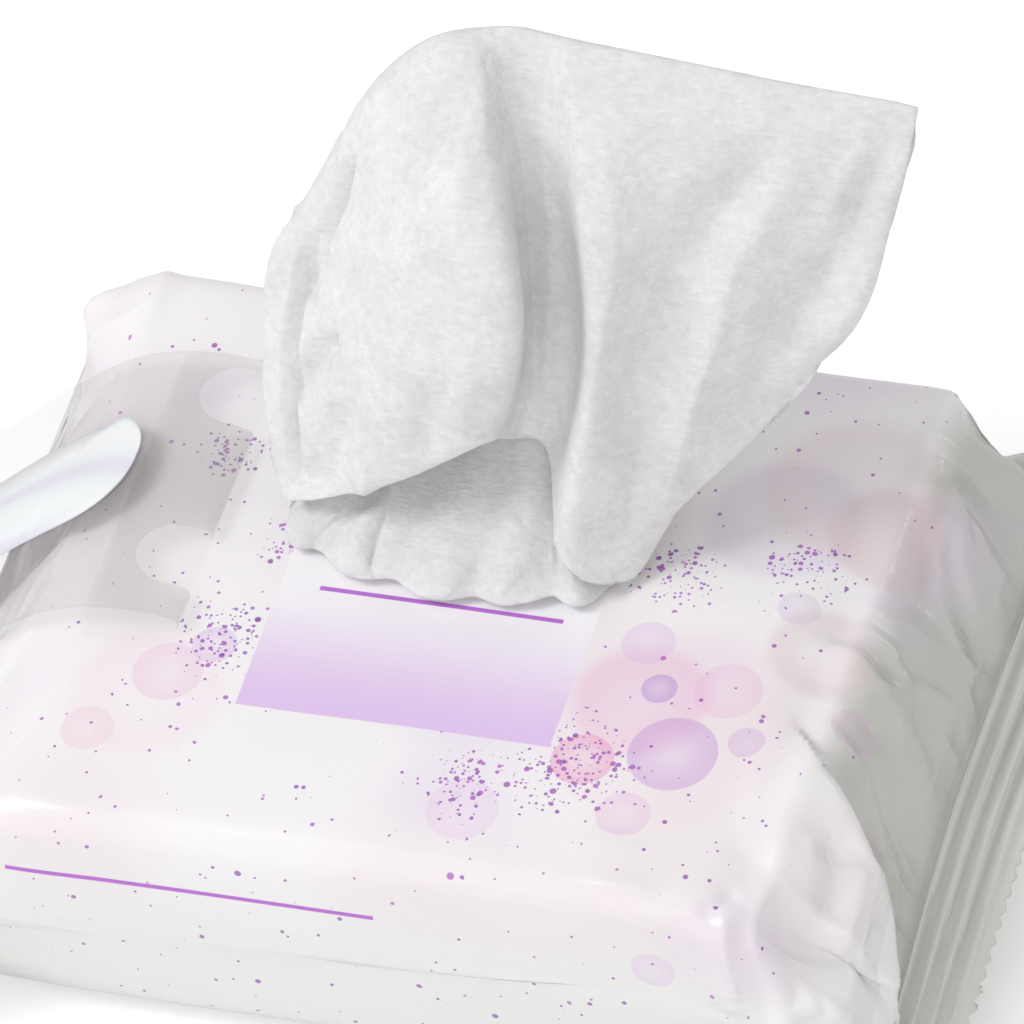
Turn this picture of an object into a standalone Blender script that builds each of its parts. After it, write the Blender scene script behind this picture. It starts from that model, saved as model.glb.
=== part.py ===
# Wet wipes pack lying flat: a film flow wrap round an interfolded stack of cloths, its
# resealable label peeled back over the left end and one cloth pulled up out of the opening.
# Metres, +Z up, origin at the middle of the base, +X along the pack to the right end.
import math

import bmesh
import bpy
from mathutils import Vector

# Cloths
cloth_width = 0.178
folded_depth = 0.132
cloth_count = 29
layer_pitch = 0.001
fold_steps = 5
pulled_wall = 0.001

# Clearances between touching pieces
touch_gap = 0.0003
corner_clearance = 0.0008
end_clearance = 0.0013

# Film wrap
film_wall = 0.0003
side_slack = 0.0125
side_bulge = 0.0012
back_slack = 0.0030
top_slack = 0.0090
crown_drop = 0.0025
back_left_rise = 0.0030
lower_corner_rise = 0.014
upper_corner_radius = 0.009
end_shoulder_length = 0.016
end_shoulder_drop = 0.0050
tent_reach = 0.0215
pleat_height = 0.0014

# Lengthwise back seam under the pack, folded flat beside the middle line
seam_y = 0.008
seam_width = 0.012
seam_relief = 0.00025
seam_edge = 0.0010

# Crimped end fins
fin_level = 0.032
fin_half_width = 0.095
fin_length = 0.0175
fin_thickness = 0.0008
fin_droop_right = math.radians(24)
fin_front_turn = math.radians(25)
fin_droop_left = math.radians(66)
fin_front_sag = 0.016
ridge_count = 4
ridge_height = 0.0005
tooth_count = 50
tooth_depth = 0.0011

# Opening in the top, and the film piece cut out of it
opening_length = 0.071
opening_width = 0.036
opening_corner = 0.0155
opening_x = -0.0015
opening_y = 0.021
flap_wall = 0.0003

# Resealable label
label_width = 0.076
anchor_width = 0.086
anchor_flare = 0.010
label_wall = 0.0003
label_centre_y = 0.0145
anchor_length = 0.021
peel_from_end = 0.0315
bend_radius = 0.0021
free_length = 0.124
label_corner = 0.022
anchor_corner = 0.005
pull_tab_width = 0.030
pull_tab_length = 0.012
pull_tab_corner = 0.006
label_skew = -0.03
tongue_radius = 0.0085
tongue_share = 0.62
tongue_centre_y = 0.0175
tongue_setback = 0.004

# Pulled cloth: its inner end under the top film, and its roll over the opening's rim
tail_spread = 0.120
tail_run = 0.030
neck_spread = 0.092
neck_run = 0.004
neck_gather = 0.001
rim_inset = 0.0022
rim_rise = 0.0006
rim_gather = 0.003
lip_outset = 0.0035
lip_rise = 0.0026
lip_shift = 0.003
base_inset = 0.001
base_rise = 0.008
base_gather = 0.006

# Heights and lengths that follow from the sizes above
cloth_layer = layer_pitch - touch_gap
stack_half_length = cloth_width / 2
stack_half_depth = folded_depth / 2
stack_base = film_wall + seam_relief + touch_gap
stack_top = stack_base + 2 * cloth_count * layer_pitch
film_top = stack_top + top_slack
film_half_width = stack_half_depth + side_slack
body_end = stack_half_length + end_clearance
fin_line = body_end + tent_reach
tail_height = stack_top + 1.3 * touch_gap + pulled_wall / 2
peel_x = peel_from_end - stack_half_length
tongue_spacing = label_width * tongue_share
fall_unit = peel_from_end / 31.5
cloth_unit = cloth_width / 178


def clear_scene():
    for item in list(bpy.data.objects):
        bpy.data.objects.remove(item, do_unlink=True)


def make_material(name, colour, roughness, alpha=1.0):
    material = bpy.data.materials.new(name)
    material.use_nodes = True
    shader = material.node_tree.nodes["Principled BSDF"]
    shader.inputs["Base Color"].default_value = (*colour, 1.0)
    shader.inputs["Roughness"].default_value = roughness
    shader.inputs["Metallic"].default_value = 0.0
    shader.inputs["Alpha"].default_value = alpha
    return material


def turn_faces(mesh_data, faces, outward):
    # Closed shell of faces made to point outwards, or inwards for a cavity
    bmesh.ops.recalc_face_normals(mesh_data, faces=faces)
    mesh_data.normal_update()
    volume = sum(face.calc_center_median().z * face.normal.z * face.calc_area() for face in faces)
    if (volume > 0) != outward:
        bmesh.ops.reverse_faces(mesh_data, faces=faces)
        mesh_data.normal_update()


def add_object(name, mesh_data, material, smooth_angle=35):
    mesh = bpy.data.meshes.new(name)
    mesh_data.normal_update()
    mesh_data.to_mesh(mesh)
    mesh_data.free()
    mesh.shade_smooth()
    mesh.set_sharp_from_angle(angle=math.radians(smooth_angle))
    item = bpy.data.objects.new(name, mesh)
    bpy.context.scene.collection.objects.link(item)
    mesh.materials.append(material)
    return item


def cut_away(item, cutter):
    # A cutter stays as a wire guide and the cut stays live on the piece
    cutter.hide_render = True
    cutter.display_type = "WIRE"
    cut = item.modifiers.new("cut_" + cutter.name, "BOOLEAN")
    cut.operation = "DIFFERENCE"
    cut.solver = "EXACT"
    cut.object = cutter


def smooth_step(value):
    value = min(max(value, 0.0), 1.0)
    return value * value * (3 - 2 * value)


def spline_point(points, place):
    # Catmull-Rom curve through the points, place from 0 at the first to 1 at the last
    spans = len(points) - 1
    along = min(max(place, 0.0), 1.0) * spans
    start = min(int(along), spans - 1)
    part = along - start
    p1, p2 = points[start], points[start + 1]
    p0 = points[start - 1] if start > 0 else p1 * 2 - p2
    p3 = points[start + 2] if start + 2 <= spans else p2 * 2 - p1
    return 0.5 * (
        2 * p1
        + (p2 - p0) * part
        + (2 * p0 - 5 * p1 + 4 * p2 - p3) * part**2
        + (3 * p1 - p0 - 3 * p2 + p3) * part**3
    )


def add_prism(mesh_data, outline, low, high):
    # Closed prism over an XY outline, between two heights
    bottom = [mesh_data.verts.new((x, y, low)) for x, y in outline]
    top = [mesh_data.verts.new((x, y, high)) for x, y in outline]
    count = len(outline)
    for i in range(count):
        j = (i + 1) % count
        mesh_data.faces.new((bottom[i], bottom[j], top[j], top[i]))
    mesh_data.faces.new(top)
    mesh_data.faces.new(bottom[::-1])


def thick_sheet(mid_points, wall):
    # Closed sheet of even thickness round a grid of mid-surface points
    mesh_data = bmesh.new()
    rows, columns = len(mid_points), len(mid_points[0])
    upper, lower = [], []
    for i in range(rows):
        upper.append([])
        lower.append([])
        for j in range(columns):
            along = mid_points[min(i + 1, rows - 1)][j] - mid_points[max(i - 1, 0)][j]
            across = mid_points[i][min(j + 1, columns - 1)] - mid_points[i][max(j - 1, 0)]
            offset = along.cross(across).normalized() * (wall / 2)
            upper[i].append(mesh_data.verts.new(mid_points[i][j] + offset))
            lower[i].append(mesh_data.verts.new(mid_points[i][j] - offset))
    for i in range(rows - 1):
        for j in range(columns - 1):
            a, b, c, d = (i, j), (i + 1, j), (i + 1, j + 1), (i, j + 1)
            mesh_data.faces.new([upper[r][s] for r, s in (a, b, c, d)])
            mesh_data.faces.new([lower[r][s] for r, s in (d, c, b, a)])
    rim = [(i, 0) for i in range(rows)]
    rim += [(rows - 1, j) for j in range(1, columns)]
    rim += [(i, columns - 1) for i in range(rows - 2, -1, -1)]
    rim += [(0, j) for j in range(columns - 2, 0, -1)]
    for (i, j), (k, m) in zip(rim, rim[1:] + rim[:1]):
        mesh_data.faces.new((upper[k][m], upper[i][j], lower[i][j], lower[k][m]))
    return mesh_data


# Film wrap

def end_drop(x, y):
    # The top rolls down towards the ends of the stack, but not at its back corners
    roll = smooth_step((abs(x) - body_end + end_shoulder_length) / end_shoulder_length)
    return end_shoulder_drop * roll * (1 - smooth_step(2 * y / stack_half_depth - 1))


def back_rise(x, y):
    # The film stands higher along the back edge, most at the left
    share = smooth_step(0.5 - x / (2 * body_end)) * smooth_step(2 * y / stack_half_depth - 1.4)
    return back_left_rise * share


def top_height(x, y):
    # Height of the film's crown over a point of the pack's top
    shoulder = film_half_width - upper_corner_radius + (back_slack if y > 0 else 0.0)
    return film_top - crown_drop * min(abs(y) / shoulder, 1.0) ** 2 - end_drop(x, y) + back_rise(x, y)


def arc_points(centre_y, centre_z, radius_y, radius_z, start, end, steps):
    points = []
    for i in range(steps + 1):
        angle = math.radians(start + (end - start) * i / steps)
        points.append((centre_y + radius_y * math.cos(angle), centre_z + radius_z * math.sin(angle)))
    return points


def half_profile(slack):
    # Cross-section from the edge of the flat base, out and up to near the middle of the top.
    # The two points at the fin level are where the upper and lower halves of a fin meet.
    half_width = film_half_width + slack
    flat_half = stack_half_depth + corner_clearance
    corner_width = half_width - flat_half
    shoulder = half_width - upper_corner_radius
    shoulder_height = film_top - crown_drop - upper_corner_radius
    lower = arc_points(flat_half, lower_corner_rise, corner_width, lower_corner_rise, -90, -6, 4)
    lower.append((half_width + side_bulge, fin_level - 0.002))
    upper = [(half_width + side_bulge, fin_level + 0.002)]
    upper += arc_points(shoulder, shoulder_height, upper_corner_radius, upper_corner_radius, 4, 90, 4)
    crown = [shoulder * share for share in (0.84, 0.68, 0.5, 0.33, 0.16)]
    upper += [(y, film_top - crown_drop * (y / shoulder) ** 2) for y in crown]
    return lower, upper


def ring_profile():
    # The whole section once round: lower half from -Y to +Y, then the upper half back
    lower, upper = half_profile(0.0)
    back_lower, back_upper = half_profile(back_slack)
    seam = []
    for edge_y in (seam_y, seam_y + seam_width):
        seam += [(edge_y, 0.0), (edge_y + seam_edge, seam_relief), (edge_y + 2 * seam_edge, 0.0)]
    left_y, right_y = -lower[0][0], back_lower[0][0]
    left_base = [(left_y + (seam[0][0] - left_y) * share, 0.0) for share in (0.3, 0.6)]
    right_base = [(seam[-1][0] + (right_y - seam[-1][0]) * 0.5, 0.0)]
    low_half = [(-y, z) for y, z in lower[::-1]] + left_base + seam + right_base + back_lower
    top_half = back_upper + [(0.0, film_top)] + [(-y, z) for y, z in upper[::-1]]
    return low_half, top_half


def running_length(points):
    lengths = [0.0]
    for (y0, z0), (y1, z1) in zip(points, points[1:]):
        lengths.append(lengths[-1] + math.hypot(y1 - y0, z1 - z0))
    return [length / lengths[-1] for length in lengths]


def fin_height(side, y):
    # The right fin sags towards its front ear
    return fin_level - (fin_front_sag * smooth_step(-y / fin_half_width) if side > 0 else 0.0)


def fin_point(side, distance, y, face):
    # A point of a fin: distance out from its inner line, face +1 above and -1 below
    droop = fin_droop_left
    if side > 0:
        droop = fin_droop_right + fin_front_turn * smooth_step(-y / fin_half_width)
    wave = 0.0
    if distance < fin_length * (1 - 0.4 / ridge_count):
        wave = ridge_height * math.sin(math.pi * ridge_count * 2 * distance / fin_length)
    lift = wave + face * fin_thickness / 2
    x = fin_line + distance * math.cos(droop) + lift * math.sin(droop)
    z = fin_height(side, y) - distance * math.sin(droop) + lift * math.cos(droop)
    return Vector((side * x, y, z))


def pleat(side, share, across):
    # Gathers that fan from the end of the stack to the fin, deepest halfway
    if side > 0:
        spread = math.sin(across * 31.0 + 0.6) + 0.6 * math.sin(across * 53.0 + 2.0)
    else:
        spread = math.sin(across * 27.0 + 1.9) + 0.5 * math.sin(across * 47.0)
    return pleat_height * math.sin(math.pi * share) * spread


def section_points(side, share, distance=0.0):
    # One ring of the film: share 0 at the stack's end, 1 at the fin's inner line
    low_half, top_half = ring_profile()
    x = side * (body_end + tent_reach * share)
    ring = []
    for points, face in ((low_half, -1), (top_half, 1)):
        places = running_length(points)
        for (y, z), place in zip(points, places):
            flat_y = fin_half_width * (2 * place - 1) * -face
            out = fin_point(side, distance, flat_y, face)
            if share >= 1:
                ring.append(out)
                continue
            inner = body_point(side * body_end, y, z)
            point = inner.lerp(fin_point(side, 0.0, flat_y, face), share)
            if face > 0:
                point.z += pleat(side, share, flat_y / fin_half_width)
                point.x += side * pleat(side, share, flat_y / fin_half_width)
            ring.append(point)
    return ring


def body_point(x, y, z):
    # A point of the section moved to its place along the pack, the more the higher it is
    height = smooth_step((z - fin_level) / (film_top - fin_level))
    return Vector((x, y, z + (back_rise(x, y) - end_drop(x, y)) * height))


def body_points(x):
    low_half, top_half = ring_profile()
    return [body_point(x, y, z) for y, z in low_half + top_half]


def join_rows(mesh_data, near, far):
    # Triangles between two rows of points that run the same way across the fin
    i = j = 0
    while i < len(near) - 1 or j < len(far) - 1:
        near_reach = abs(near[min(i + 1, len(near) - 1)].co.y - near[0].co.y)
        far_reach = abs(far[min(j + 1, len(far) - 1)].co.y - far[0].co.y)
        if j == len(far) - 1 or (i < len(near) - 1 and near_reach <= far_reach):
            mesh_data.faces.new((near[i + 1], near[i], far[j]))
            i += 1
        else:
            mesh_data.faces.new((near[i], far[j], far[j + 1]))
            j += 1


def fin_edge(side, mesh_data, last_ring, low_count):
    # Saw-toothed outer edge, joined to the coarser last ring of the fin
    steps = tooth_count * 2
    rows = []
    for face in (-1, 1):
        row = []
        for i in range(steps + 1):
            y = fin_half_width * (2 * i / steps - 1) * -face
            reach = fin_length + (tooth_depth if i % 2 else 0.0)
            row.append(mesh_data.verts.new(fin_point(side, reach, y, face)))
        for notch, tip, following in zip(row[::2], row[1::2], row[2::2]):
            mesh_data.faces.new((notch, tip, following))
        rows.append(row)
    low_row, top_row = rows
    join_rows(mesh_data, last_ring[:low_count], low_row[::2])
    join_rows(mesh_data, last_ring[low_count:], top_row[::2])
    for i in range(steps):
        mesh_data.faces.new((low_row[i + 1], low_row[i], top_row[steps - i], top_row[steps - i - 1]))
    mesh_data.faces.new((last_ring[low_count], last_ring[low_count - 1], low_row[-1], top_row[0]))
    mesh_data.faces.new((last_ring[0], last_ring[-1], top_row[-1], low_row[0]))


def film_wrap(material):
    low_half, top_half = ring_profile()
    low_count = len(low_half)
    tent_shares = (0.25, 0.5, 0.75, 0.9)
    body_shares = (
        -1.0, -0.95, -0.88, -0.76, -0.6, -0.4, -0.2, 0.0, 0.2, 0.4, 0.55, 0.68, 0.79, 0.87, 0.94, 1.0)
    fin_steps = ridge_count * 2
    rings = []
    for i in range(fin_steps - 1, -1, -1):
        rings.append(section_points(-1, 1, fin_length * (i + 0.5) / fin_steps))
    rings.append(section_points(-1, 1))
    rings += [section_points(-1, share) for share in tent_shares[::-1]]
    first_inner = len(rings) - len(tent_shares)
    rings += [body_points(share * body_end) for share in body_shares]
    rings += [section_points(1, share) for share in tent_shares]
    last_inner = len(rings) - 1
    rings.append(section_points(1, 1))
    for i in range(fin_steps):
        rings.append(section_points(1, 1, fin_length * (i + 0.5) / fin_steps))

    mesh_data = bmesh.new()
    outer = [[mesh_data.verts.new(point) for point in ring] for ring in rings]
    count = len(outer[0])
    for ring, following in zip(outer, outer[1:]):
        for j in range(count):
            k = (j + 1) % count
            mesh_data.faces.new((ring[j], following[j], following[k], ring[k]))
    fin_edge(-1, mesh_data, outer[0], low_count)
    fin_edge(1, mesh_data, outer[-1], low_count)
    turn_faces(mesh_data, mesh_data.faces[:], True)

    # The inner face of the film follows the outer one, a wall's thickness inside
    inner_rings = outer[first_inner:last_inner + 1]
    inner = [[mesh_data.verts.new(v.co - v.normal * film_wall) for v in ring] for ring in inner_rings]
    inner_faces = []
    for ring, following in zip(inner, inner[1:]):
        for j in range(count):
            k = (j + 1) % count
            inner_faces.append(mesh_data.faces.new((ring[k], following[k], following[j], ring[j])))
    caps = [mesh_data.faces.new(inner[0]), mesh_data.faces.new(inner[-1][::-1])]
    turn_faces(mesh_data, inner_faces + caps, False)
    bmesh.ops.triangulate(mesh_data, faces=caps, ngon_method="EAR_CLIP")
    bmesh.ops.triangulate(mesh_data, faces=mesh_data.faces[:])
    item = add_object("film_wrap", mesh_data, material)

    cutter_data = bmesh.new()
    outline = rounded_outline(opening_x, opening_y, opening_length, opening_width, opening_corner)
    add_prism(cutter_data, outline, film_top - top_slack / 2, film_top + top_slack)
    cut_away(item, add_object("opening_cutter", cutter_data, material))
    return item


def rounded_outline(centre_x, centre_y, length, width, corner, steps=5):
    outline = []
    for quarter, (sx, sy) in enumerate(((1, 1), (-1, 1), (-1, -1), (1, -1))):
        x = centre_x + sx * (length / 2 - corner)
        y = centre_y + sy * (width / 2 - corner)
        for i in range(steps + 1):
            angle = math.pi / 2 * (quarter + i / steps)
            outline.append((x + corner * math.cos(angle), y + corner * math.sin(angle)))
    return outline


# Label and the film piece on it

def label_path():
    # Mid line of the label in XZ from its anchored end: flat on the film, round the
    # peel bend, back over the pack and down past its left end. Heights are above the film.
    rest = touch_gap + label_wall / 2
    points = [Vector((peel_x - anchor_length * (1 - i / 3), 0, rest)) for i in range(4)]
    for i in range(1, 6):
        angle = math.pi * i / 6
        points.append(Vector((
            peel_x + bend_radius * math.sin(angle), 0, rest + bend_radius * (1 - math.cos(angle)))))
    fall = (
        (0, 0), (10, 1.2), (20, 0.6), (30, -3.6), (39, -10.0), (51, -20.2), (64, -32.5), (82, -47), (104, -58))
    top = rest + 2 * bend_radius
    guides = [Vector((peel_x - x * fall_unit, 0, top + z * fall_unit)) for x, z in fall]
    fine = [spline_point(guides, i / 120) for i in range(121)]
    travelled = 0.0
    step = free_length / 17
    points.append(fine[0])
    wanted = step
    for before, after in zip(fine, fine[1:]):
        span = (after - before).length
        while wanted <= travelled + span and wanted <= free_length + step / 2:
            points.append(before.lerp(after, (wanted - travelled) / span))
            wanted += step
        travelled += span
    return points


def path_lengths(points):
    lengths = [0.0]
    for before, after in zip(points, points[1:]):
        lengths.append(lengths[-1] + (after - before).length)
    return lengths


def path_at(points, lengths, distance):
    for i in range(len(points) - 1):
        if distance <= lengths[i + 1] or i == len(points) - 2:
            part = (distance - lengths[i]) / (lengths[i + 1] - lengths[i])
            return points[i].lerp(points[i + 1], part)


def on_label(points, lengths, distance, across):
    # A mid-surface point of the label; past the bend it is skewed a little to the front
    place = path_at(points, lengths, distance)
    bend = anchor_length + math.pi * bend_radius / 2
    skew = label_skew * max(peel_x - place.x, 0.0) if distance > bend else 0.0
    y = label_centre_y + across + skew
    if distance <= bend:
        return Vector((place.x, y, top_height(place.x, y) + place.z))
    on_pack = smooth_step((place.x + body_end) / (anchor_length / 2))
    drop = film_top - top_height(max(place.x, -body_end + end_shoulder_length), y)
    return Vector((place.x, y, film_top + place.z - drop * on_pack))


def label_half_width(distance, total):
    # Wider rounded anchored end, rounded free end with a narrower pull tab
    flare = smooth_step((anchor_length - distance) / anchor_flare)
    half = label_width / 2 + (anchor_width - label_width) / 2 * flare
    if distance < anchor_corner:
        return half - anchor_corner + math.sqrt(anchor_corner**2 - (anchor_corner - distance) ** 2)
    body = total - pull_tab_length
    if distance > body:
        left = total - distance
        half = pull_tab_width / 2
        if left < pull_tab_corner:
            return half - pull_tab_corner + math.sqrt(pull_tab_corner**2 - (pull_tab_corner - left) ** 2)
        return half
    if distance > body - label_corner:
        over = distance - (body - label_corner)
        rounded = half - label_corner + math.sqrt(label_corner**2 - over**2)
        return max(rounded, pull_tab_width / 2)
    return half


def reseal_label(material):
    points = label_path()
    lengths = path_lengths(points)
    total = lengths[-1]
    tab_start = total - pull_tab_length
    stops = [0.0, anchor_corner * 0.15, anchor_corner * 0.5, anchor_corner]
    stops += [anchor_length - anchor_flare * share for share in (0.7, 0.5, 0.3, 0.15)]
    stops += [length for length in lengths[3:-1] if length < tab_start - label_corner]
    stops += [tab_start - label_corner * share for share in (1.0, 0.75, 0.5, 0.25, 0.1, 0.02)]
    stops += [tab_start + 0.0005, total - pull_tab_corner]
    stops += [total - pull_tab_corner * share for share in (0.5, 0.15, 0.0)]
    grid = []
    for distance in sorted(stops):
        half = label_half_width(distance, total)
        grid.append([on_label(points, lengths, distance, half * (j / 4 - 1)) for j in range(9)])
    item = add_object("reseal_label", thick_sheet(grid, label_wall), material)

    # Two round tongues stay flat on the film, so the peeled part has a notch over each
    cutter_data = bmesh.new()
    low = touch_gap + label_wall * 1.6
    for side in (-1, 1):
        y = tongue_centre_y + side * tongue_spacing / 2
        outline = [(peel_x + 2 * bend_radius, y - tongue_radius), (peel_x + 2 * bend_radius, y + tongue_radius)]
        for i in range(9):
            angle = math.pi * (0.5 + i / 8)
            outline.append((peel_x - tongue_setback + tongue_radius * math.cos(angle),
                            y + tongue_radius * math.sin(angle)))
        height = top_height(peel_x, y)
        add_prism(cutter_data, outline, height + low, height + 4 * bend_radius)
    cut_away(item, add_object("tongue_cutter", cutter_data, material))
    return item


def cut_out_flap(material):
    # The film piece from the opening, stuck to the upturned side of the label
    points = label_path()
    lengths = path_lengths(points)
    bend = anchor_length + math.pi * bend_radius
    centre = bend + opening_x - peel_x
    across = opening_y - label_centre_y
    shares = (-1.0, -0.985, -0.93, -0.84, -0.7, -0.5, -0.25, 0.0, 0.25, 0.5, 0.7, 0.84, 0.93, 0.985, 1.0)
    lift = label_wall / 2 + touch_gap + flap_wall / 2
    grid = []
    for share in shares:
        from_end = opening_length / 2 * (1 - abs(share))
        half = opening_width / 2
        if from_end < opening_corner:
            half += math.sqrt(opening_corner**2 - (opening_corner - from_end) ** 2) - opening_corner
        distance = centre + opening_length / 2 * share
        row = []
        for j in range(5):
            y = across + half * (j / 2 - 1)
            here = on_label(points, lengths, distance, y)
            along = on_label(points, lengths, distance + 0.001, y) - on_label(points, lengths, distance - 0.001, y)
            side = on_label(points, lengths, distance, y + 0.001) - here
            row.append(here + side.cross(along).normalized() * lift)
        grid.append(row)
    return add_object("cut_out_flap", thick_sheet(grid, flap_wall), material)


# Cloths

def folded_cloth(index, material):
    # One cloth of the interfolded stack, folded once round the half of its neighbour.
    # Odd cloths have their fold at the front and even ones at the back.
    upper_layer = max(2 * index - 3, 0)
    lower_layer = min(2 * index, 2 * cloth_count - 1)
    side = -1 if index % 2 else 1
    upper_z = stack_top - (upper_layer + 0.5) * layer_pitch
    lower_z = stack_top - (lower_layer + 0.5) * layer_pitch
    middle_z = (upper_z + lower_z) / 2
    fold_radius = (upper_z - lower_z) / 2
    widest_fold = 1.5 * layer_pitch + cloth_layer / 2
    fold_y = stack_half_depth - fold_radius - cloth_layer / 2
    free_y = -(stack_half_depth - widest_fold)
    profile = [(free_y, upper_z + cloth_layer / 2)]
    for radius, turn in ((fold_radius + cloth_layer / 2, 1), (fold_radius - cloth_layer / 2, -1)):
        arc = []
        for i in range(fold_steps + 1):
            angle = math.pi * (0.5 - i / fold_steps)
            arc.append((fold_y + radius * math.cos(angle), middle_z + radius * math.sin(angle)))
        profile += arc[::turn]
        if turn > 0:
            profile += [(free_y, lower_z - cloth_layer / 2), (free_y, lower_z + cloth_layer / 2)]
    profile.append((free_y, upper_z - cloth_layer / 2))

    mesh_data = bmesh.new()
    left = [mesh_data.verts.new((-stack_half_length, side * y, z)) for y, z in profile]
    right = [mesh_data.verts.new((stack_half_length, side * y, z)) for y, z in profile]
    count = len(profile)
    for i in range(count):
        j = (i + 1) % count
        mesh_data.faces.new((left[i], left[j], right[j], right[i]))
    mesh_data.faces.new(left[::-1])
    mesh_data.faces.new(right)
    bmesh.ops.recalc_face_normals(mesh_data, faces=mesh_data.faces[:])
    return add_object(f"folded_cloth_{index:02d}", mesh_data, material)


def guide(points):
    # Hand-placed guide points in millimetres, from the opening's middle at the film's top
    base = Vector((opening_x, opening_y, film_top))
    return [base + Vector(point) * cloth_unit for point in points]


def pulled_guides():
    # Lines across the cloth from its left edge to its right, in the order in which it runs:
    # up behind the opening's front rim, over the crest and down to the free hem
    back_low = guide(((-34, 12, 16), (-22, 8, 18), (-6, 8, 20), (14, 8, 21), (32, 10, 19), (46, 14, 17)))
    back_mid = guide(((-50, 22, 24), (-38, 20, 38), (-3, 24, 52), (31, 25, 50), (60, 27, 46), (75, 29, 42)))
    back_up = guide(((-45, 36, 47), (-32, 40, 62), (-3, 41, 92), (33, 39, 93), (69, 39, 83), (91, 38, 70)))
    crest = guide((
        (-41, 29, 57), (-36, 30, 68), (-30, 30, 80), (-19, 32, 101), (-6, 34, 115), (5, 36, 119),
        (14, 37, 120), (22, 37, 119), (31, 37, 118), (54, 37, 116), (79, 37, 114), (105, 37, 113)))
    front_up = guide((
        (-45, 19, 50), (-36, 19, 56), (-26, 17, 67), (-13, 13, 84), (0, 10, 95), (16, 12, 96),
        (13, 21, 70), (25, 22, 72), (32, 16, 90), (49, 19, 87), (72, 22, 80), (93, 25, 69)))
    front_low = guide((
        (-46, 5, 29), (-38, 0, 31), (-31, -2, 34), (-19, -6, 45), (-5, -7, 57), (21, -5, 69),
        (13, 8, 38), (25, 10, 36), (34, 3, 62), (43, 4, 50), (55, 7, 38), (70, 12, 33)))
    hem = guide((
        (-39, -11, 11), (-35, -12, 12), (-31, -12, 13), (-22, -13, 17), (-10, -13, 23), (10, -9, 35),
        (10, 3, 23), (19, 3, 22), (25, -16, 9), (32, -14, 9), (38, -11, 9), (43, -6, 9)))
    return back_low, back_mid, back_up, crest, front_up, front_low, hem


def gather(share, depth):
    # Gathers of the cloth where the opening squeezes it, pushed towards the back
    return depth * (0.5 - 0.5 * math.cos(2 * math.pi * (6.5 * share + 0.1 * math.sin(7 * share))))


def foot_line(share, inset, rise, depth, shift=0.0):
    # The cloth's line round the front half of the opening, share 0 at its left end
    angle = math.pi * (0.94 - 0.88 * share)
    x = (opening_length / 2 - inset) * math.cos(angle) + shift
    y = -(opening_width / 2 - inset) * math.sin(angle) ** 0.7
    return Vector((opening_x + x, opening_y + y + gather(share, depth), film_top + rise))


def tail_line(share, spread, run, depth):
    # The part that is still inside, flat on the stack under the front of the top film
    x = opening_x + (share - 0.5) * spread
    y = opening_y - opening_width / 2 - run + gather(share, depth)
    return Vector((x, y, tail_height))


def pulled_cloth(material):
    columns, rows_per_span = 40, (2, 2, 2, 2, 2, 3, 3, 4, 4, 3, 3)
    guides = pulled_guides()
    grid = []
    lines = []
    for j in range(columns + 1):
        share = j / columns
        run = [
            tail_line(share, tail_spread, tail_run, 0.0),
            tail_line(share, neck_spread, neck_run, neck_gather),
            foot_line(share, rim_inset, rim_rise, rim_gather),
            foot_line(share, -lip_outset, lip_rise, rim_gather, lip_shift),
            foot_line(share, base_inset, base_rise, base_gather, lip_shift),
        ]
        run += [spline_point(line, share) for line in guides]
        lines.append(run)
    for span, steps in enumerate(rows_per_span):
        for i in range(steps):
            place = (span + i / steps) / len(rows_per_span)
            grid.append([spline_point(run, place) for run in lines])
    grid.append([run[-1] for run in lines])
    for point in [point for row in grid for point in row]:
        point.z = max(point.z, tail_height)
    return add_object("pulled_cloth", thick_sheet(grid, pulled_wall), material, 60)


def main():
    clear_scene()
    film = make_material("printed_film", (0.84, 0.82, 0.86), 0.22)
    clear_film = make_material("clear_label_film", (0.70, 0.66, 0.68), 0.18, 0.55)
    flap_film = make_material("cut_film", (0.86, 0.86, 0.88), 0.3)
    cloth = make_material("wet_nonwoven", (0.86, 0.86, 0.85), 0.9)
    film_wrap(film)
    reseal_label(clear_film)
    cut_out_flap(flap_film)
    pulled_cloth(cloth)
    for index in range(1, cloth_count + 1):
        folded_cloth(index, cloth)


main()
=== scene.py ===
# Wet wipes pack on a pale floor: crinkled printed film, clear label peeled back,
# one nonwoven cloth pulled up and draped over itself
import math

import bmesh
import bpy
import numpy as np
from mathutils import Matrix, Vector, noise


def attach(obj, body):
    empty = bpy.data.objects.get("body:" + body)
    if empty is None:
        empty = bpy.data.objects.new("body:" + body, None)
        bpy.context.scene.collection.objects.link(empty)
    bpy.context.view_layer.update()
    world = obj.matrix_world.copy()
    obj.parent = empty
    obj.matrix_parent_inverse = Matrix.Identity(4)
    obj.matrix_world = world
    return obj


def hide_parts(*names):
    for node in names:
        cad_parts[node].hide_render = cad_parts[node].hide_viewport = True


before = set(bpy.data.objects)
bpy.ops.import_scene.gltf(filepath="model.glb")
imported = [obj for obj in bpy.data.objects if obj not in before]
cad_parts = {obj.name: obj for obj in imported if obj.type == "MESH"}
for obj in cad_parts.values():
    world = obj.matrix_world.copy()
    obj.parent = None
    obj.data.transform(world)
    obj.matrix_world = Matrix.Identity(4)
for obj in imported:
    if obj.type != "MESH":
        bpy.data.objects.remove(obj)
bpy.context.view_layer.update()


def linearColour(code):
    values = []
    for i in (0, 2, 4):
        share = int(code[i:i + 2], 16) / 255
        values.append(share / 12.92 if share <= 0.04045 else ((share + 0.055) / 1.055) ** 2.4)
    return (*values, 1.0)


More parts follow.
